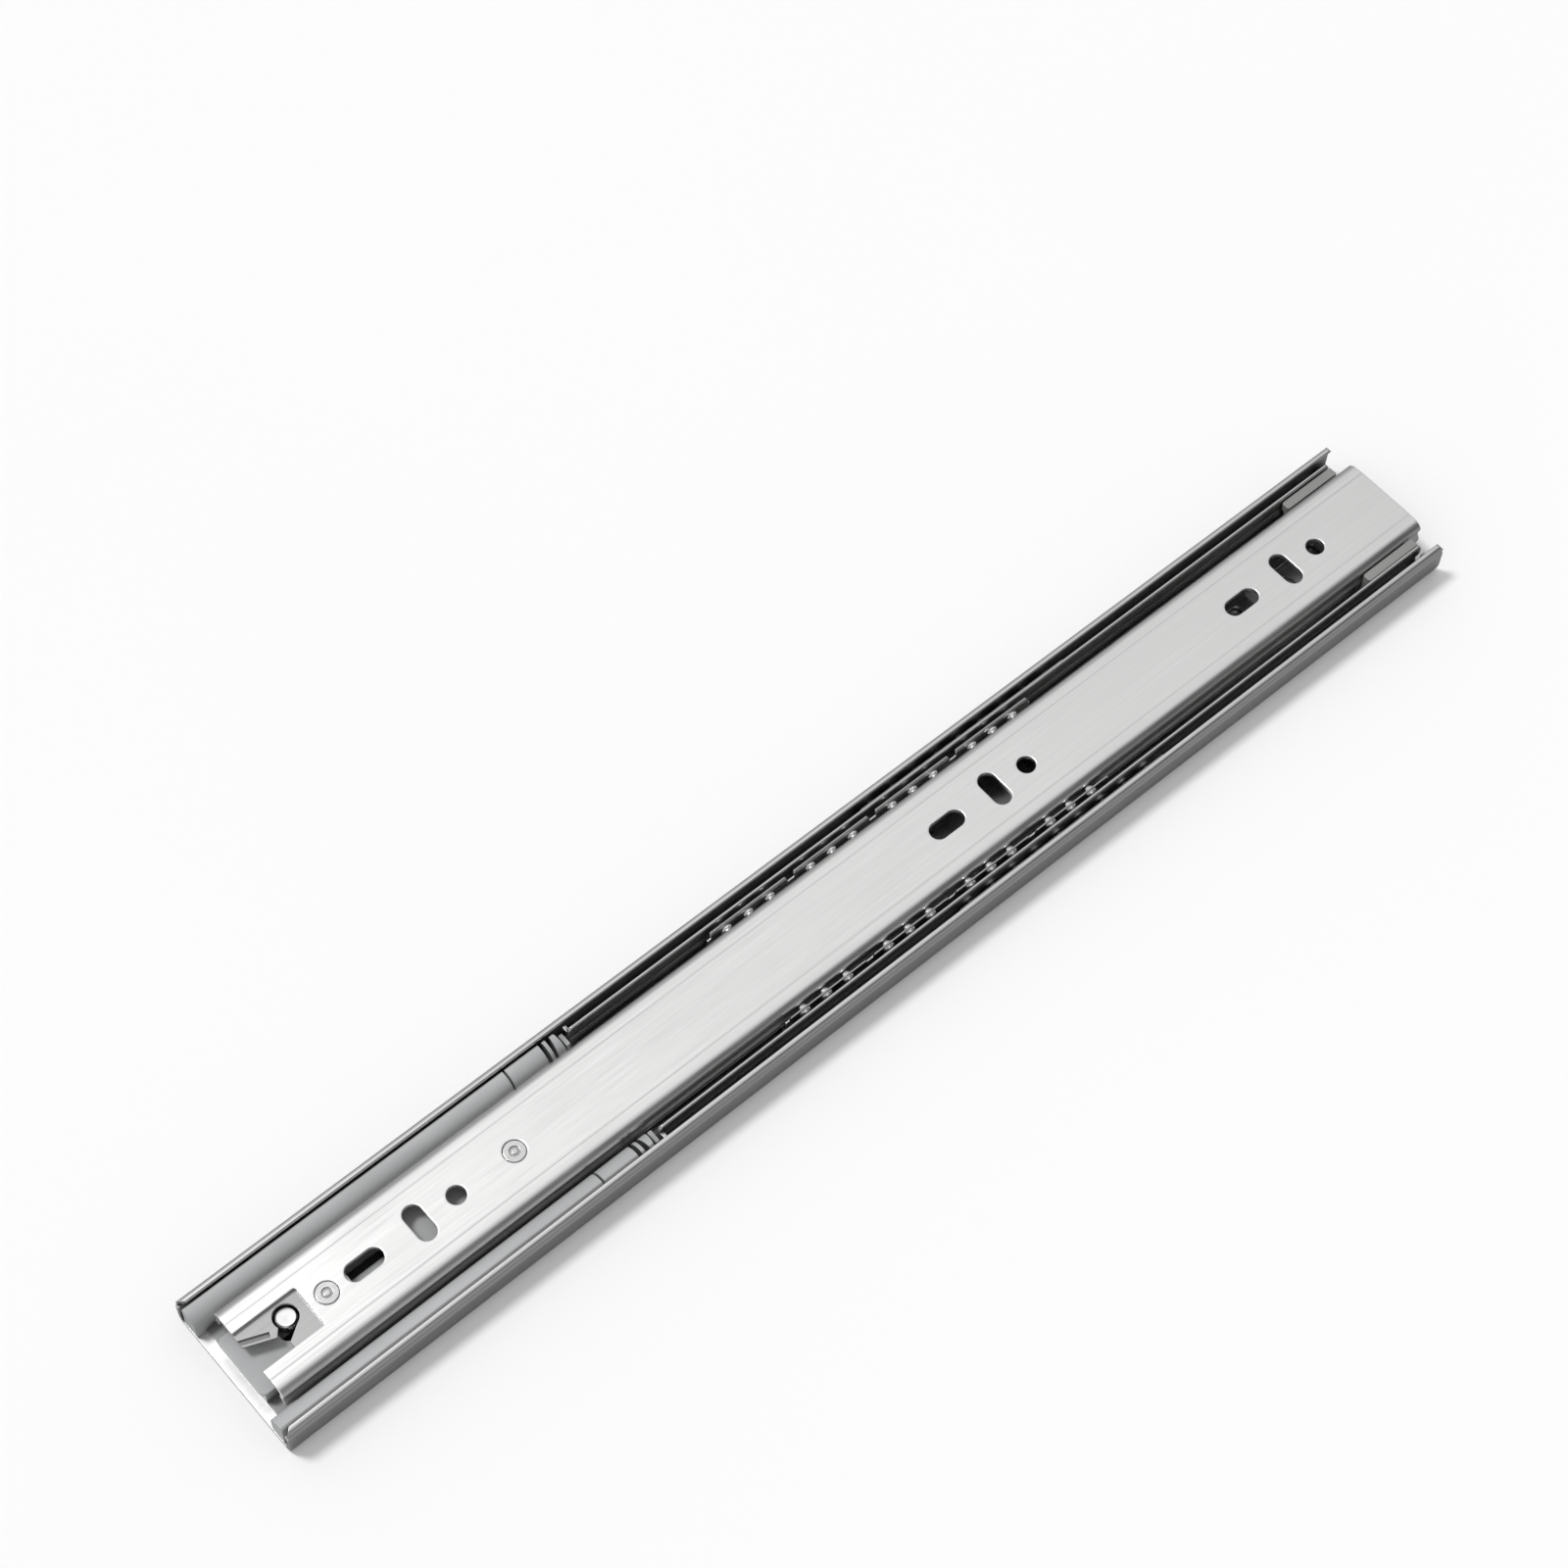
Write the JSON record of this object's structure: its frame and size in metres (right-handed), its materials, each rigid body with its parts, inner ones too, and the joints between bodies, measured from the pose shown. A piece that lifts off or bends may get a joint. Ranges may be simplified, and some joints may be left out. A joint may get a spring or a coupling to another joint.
{
  "type": "cabinet drawer slide",
  "caption": "Full-extension ball-bearing drawer slide in three nested steel members, with a soft-close catch, damper and springs at its rear.",
  "frame": {"origin": "under the middle of the closed slide, on the cabinet face", "axes": "+X towards the drawer front, +Z from the cabinet side to the drawer side"},
  "size_m": [0.4, 0.046, 0.0127],
  "materials": {
    "cabinet_member_steel": "brushed zinc-plated sheet",
    "middle_member_steel": "bright zinc-plated sheet",
    "drawer_member_steel": "brushed zinc-plated sheet",
    "cage_steel": "bright sheet",
    "ball_steel": "polished",
    "pin_steel": "polished",
    "rivet_steel": "satin",
    "catch_plate_steel": "satin zinc-plated sheet",
    "spring_steel": "drawn wire",
    "damper_steel": "turned",
    "grey_plastic": "fine moulded grain",
    "light_nylon": "smooth moulded",
    "black_plastic": "fine moulded grain"
  },
  "bodies": {
    "cabinet_side": {"outer_member": "cabinet_member_steel", "soft_close_housing": "grey_plastic", "soft_close_cover": "grey_plastic", "end_buffer": "grey_plastic", "damper_cylinder": "damper_steel", "catch_spring_left": "spring_steel", "catch_spring_right": "spring_steel"},
    "catch": {"catch_slider": "black_plastic", "catch_pin": "pin_steel", "damper_piston_rod": "pin_steel", "damper_piston": "black_plastic"},
    "middle": {"middle_member": "middle_member_steel", "front_stop": "light_nylon"},
    "drawer_side": {"inner_member": "drawer_member_steel", "catch_plate": "catch_plate_steel", "catch_plate_rivet": "rivet_steel", "release_lever_rivet": "rivet_steel"},
    "lever": {"release_lever": "black_plastic"},
    "outer_cage": {"outer_ball_cage": "cage_steel", "outer_balls_left": "ball_steel", "outer_balls_right": "ball_steel"},
    "inner_cage": {"inner_ball_cage": "cage_steel", "inner_balls_left": "ball_steel", "inner_balls_right": "ball_steel"}
  },
  "joints": [
    {"name": "middle_slide", "type": "slide", "parent": "cabinet_side", "child": "middle", "axis": [1, 0, 0], "range_m": [0, 0.2]},
    {"name": "outer_cage_roll", "type": "slide", "parent": "cabinet_side", "child": "outer_cage", "axis": [1, 0, 0], "range_m": [0, 0.1]},
    {"name": "drawer_slide", "type": "slide", "parent": "middle", "child": "drawer_side", "axis": [1, 0, 0], "range_m": [0, 0.195]},
    {"name": "inner_cage_roll", "type": "slide", "parent": "middle", "child": "inner_cage", "axis": [1, 0, 0], "range_m": [0, 0.0975]},
    {"name": "catch_travel", "type": "slide", "parent": "cabinet_side", "child": "catch", "axis": [1, 0, 0], "range_m": [0, 0.034], "stiffness_N_per_m": 150, "springref_m": -0.03, "deforming": ["catch_spring_left", "catch_spring_right"]},
    {"name": "lever_turn", "type": "hinge", "parent": "drawer_side", "child": "lever", "pos_m": [-0.1122, 0, 0.01], "axis": [0, 0, 1], "range_deg": [0, 8], "stiffness_Nm_per_rad": 0.05, "springref_deg": -2.86}
  ],
  "couplings": [
    {"joint": "outer_cage_roll", "follows": "middle_slide", "ratio": 0.5},
    {"joint": "inner_cage_roll", "follows": "drawer_slide", "ratio": 0.5}
  ]
}
